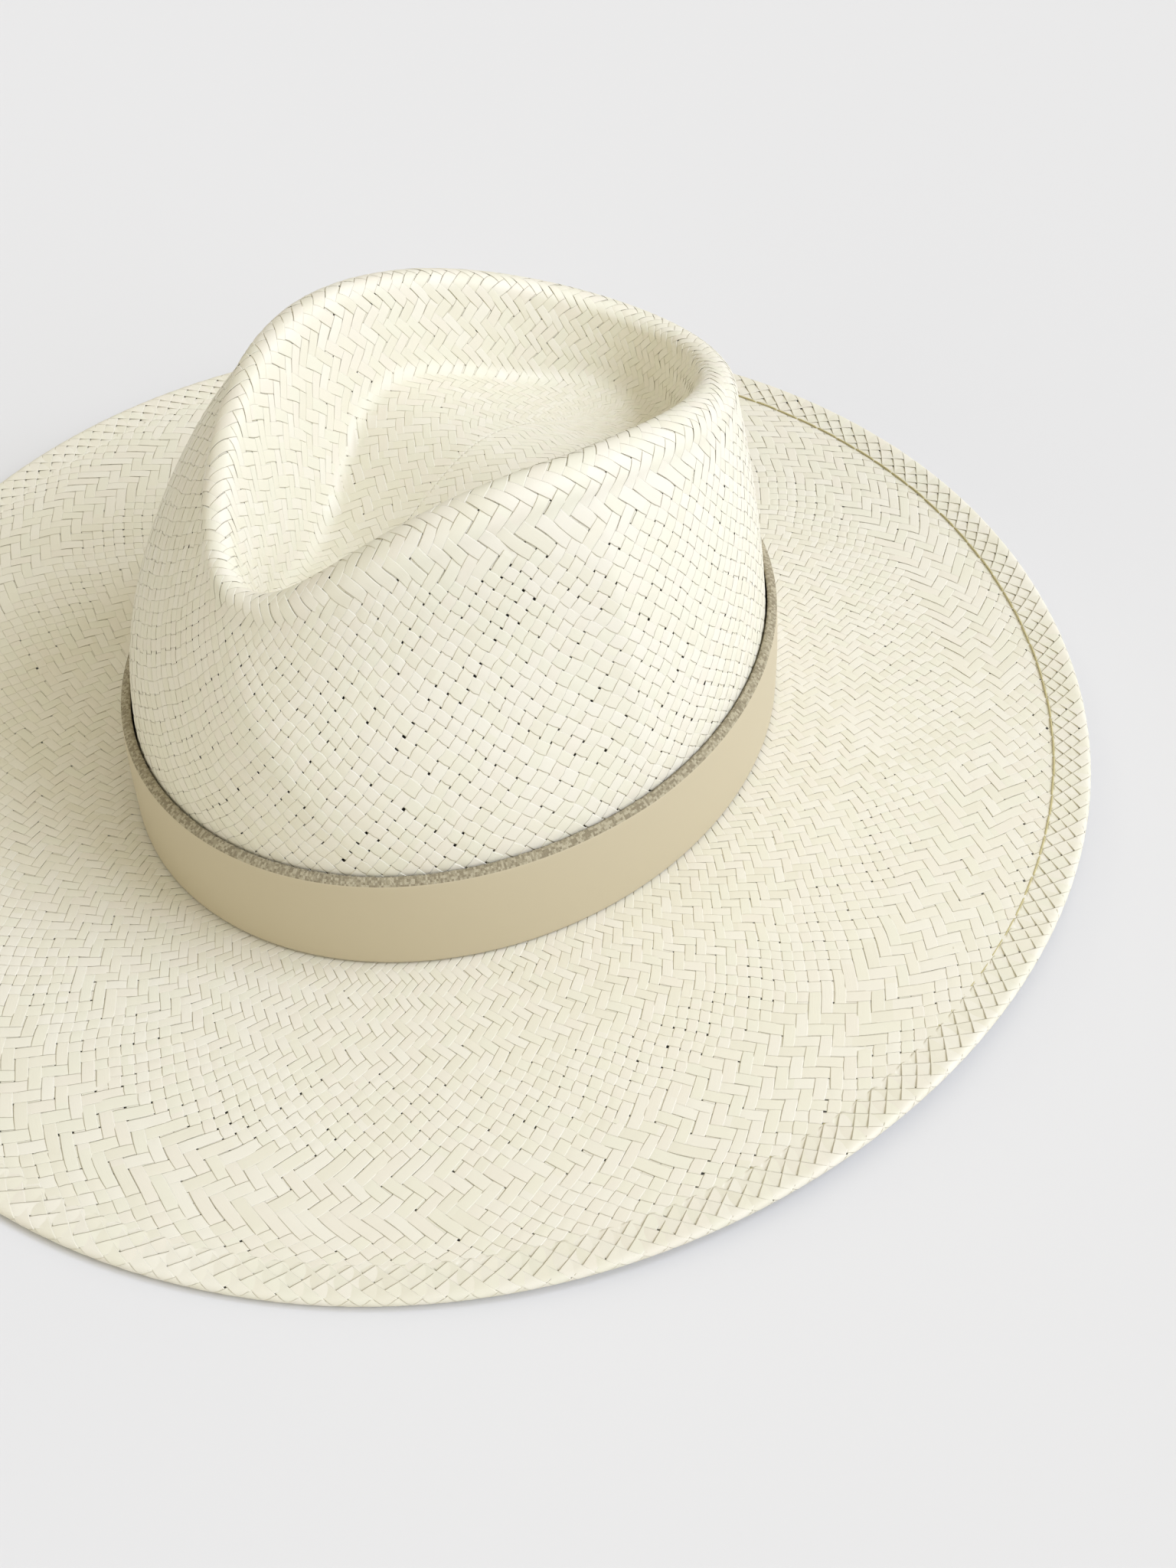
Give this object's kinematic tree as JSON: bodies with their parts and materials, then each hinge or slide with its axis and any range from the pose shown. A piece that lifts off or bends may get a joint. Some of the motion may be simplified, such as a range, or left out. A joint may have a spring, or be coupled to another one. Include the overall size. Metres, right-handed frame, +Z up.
{
  "type": "panama hat",
  "caption": "Wide-brimmed woven straw hat with a teardrop crown, folded brim edge, leather band and inner sweatband.",
  "frame": {"origin": "on the surface that the brim rests on, under the middle of the brim", "axes": "+Z up through the crown, +Y towards the back of the hat, -Y towards the pinched front, +X to the wearer's left"},
  "size_m": [0.3782, 0.3988, 0.1274],
  "materials": {
    "straw": "woven flat straw, satin",
    "thread": "twisted thread, matt",
    "band_leather": "smooth veg-tanned leather, satin",
    "sweatband_leather": "thin leather, matt",
    "ribbon": "ribbed grosgrain ribbon",
    "reed_plastic": "plain extruded reed",
    "steel_wire": "drawn wire"
  },
  "bodies": {
    "hat": {"crown": "straw", "brim": "straw", "brim_edge_hem": "straw", "brim_edge_wire": "steel_wire", "hem_stitching": "thread", "sweatband": "sweatband_leather", "sweatband_reed": "reed_plastic", "reed_cover": "ribbon", "sweatband_stitching": "thread", "sweatband_bow": "ribbon", "size_tab": "ribbon"},
    "band": {"hat_band": "band_leather", "band_lap_stitching": "thread"}
  },
  "joints": [
    {"name": "band_lift", "type": "slide", "parent": "hat", "child": "band", "axis": [0, 0, 1], "range_m": [0, 0.13]}
  ]
}
